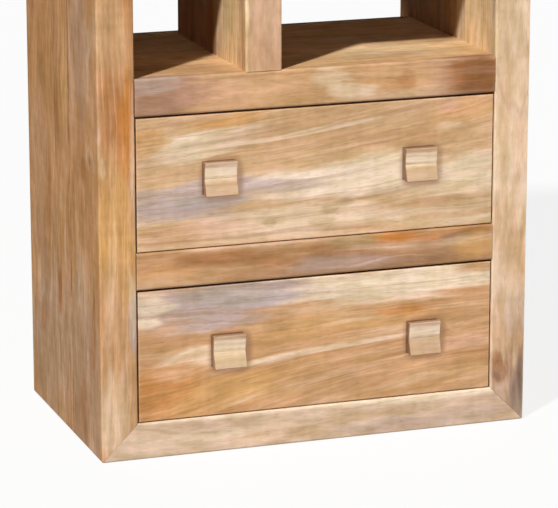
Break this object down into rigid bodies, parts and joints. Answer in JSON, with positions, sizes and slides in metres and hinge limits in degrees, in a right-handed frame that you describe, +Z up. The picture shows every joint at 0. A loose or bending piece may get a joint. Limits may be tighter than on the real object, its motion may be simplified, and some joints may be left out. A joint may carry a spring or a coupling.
{
  "type": "bookcase with bottom drawers",
  "caption": "Tall open bookcase in thick solid wood with a mitred outer frame, off-centre dividers and inset bottom drawers with square wooden knobs.",
  "frame": {"origin": "on the floor, at the middle of the case's footprint without the knobs", "axes": "+Z up, +X to the right seen from the front, the drawer fronts face -Y"},
  "size_m": [0.6, 0.3669, 1.8],
  "materials": {
    "case_wood": "satin lacquered light mango wood",
    "drawer_front_wood": "satin lacquered light mango wood, grain across",
    "knob_wood": "satin lacquered light wood",
    "inner_wood": "planed and left bare",
    "panel_wood": "sanded thin panel",
    "dowel_beech": "plain turned dowel",
    "screw_steel": "plain zinc plated"
  },
  "bodies": {
    "case": {"back_cleat": "inner_wood", "back_panel": "panel_wood", "back_panel_screws": "screw_steel", "bottom_board": "case_wood", "cleat_screws": "screw_steel", "cover_shelf": "case_wood", "divider_1": "case_wood", "divider_2": "case_wood", "divider_3": "case_wood", "divider_4": "case_wood", "divider_dowels": "dowel_beech", "drawer_rail": "case_wood", "left_side_front_stave": "case_wood", "left_side_rear_stave": "case_wood", "lower_drawer_left_runner": "inner_wood", "lower_drawer_right_runner": "inner_wood", "lower_drawer_stop_block": "inner_wood", "mitre_dowels": "dowel_beech", "open_shelf_1": "case_wood", "open_shelf_2": "case_wood", "open_shelf_3": "case_wood", "rail_dowels": "dowel_beech", "right_side_front_stave": "case_wood", "right_side_rear_stave": "case_wood", "runner_screws": "screw_steel", "shelf_dowels": "dowel_beech", "stop_block_screws": "screw_steel", "top_board": "case_wood", "upper_drawer_left_runner": "inner_wood", "upper_drawer_right_runner": "inner_wood", "upper_drawer_stop_block": "inner_wood"},
    "upper_drawer": {"upper_drawer_back": "inner_wood", "upper_drawer_bottom": "panel_wood", "upper_drawer_bottom_screws": "screw_steel", "upper_drawer_dowels": "dowel_beech", "upper_drawer_front": "drawer_front_wood", "upper_drawer_knob_screws": "screw_steel", "upper_drawer_left_knob": "knob_wood", "upper_drawer_left_side": "inner_wood", "upper_drawer_right_knob": "knob_wood", "upper_drawer_right_side": "inner_wood"},
    "lower_drawer": {"lower_drawer_back": "inner_wood", "lower_drawer_bottom": "panel_wood", "lower_drawer_bottom_screws": "screw_steel", "lower_drawer_dowels": "dowel_beech", "lower_drawer_front": "drawer_front_wood", "lower_drawer_knob_screws": "screw_steel", "lower_drawer_left_knob": "knob_wood", "lower_drawer_left_side": "inner_wood", "lower_drawer_right_knob": "knob_wood", "lower_drawer_right_side": "inner_wood"}
  },
  "joints": [
    {"name": "upper_drawer_slide", "type": "slide", "parent": "case", "child": "upper_drawer", "axis": [0, -1, 0], "range_m": [0, 0.225]},
    {"name": "lower_drawer_slide", "type": "slide", "parent": "case", "child": "lower_drawer", "axis": [0, -1, 0], "range_m": [0, 0.225]}
  ]
}
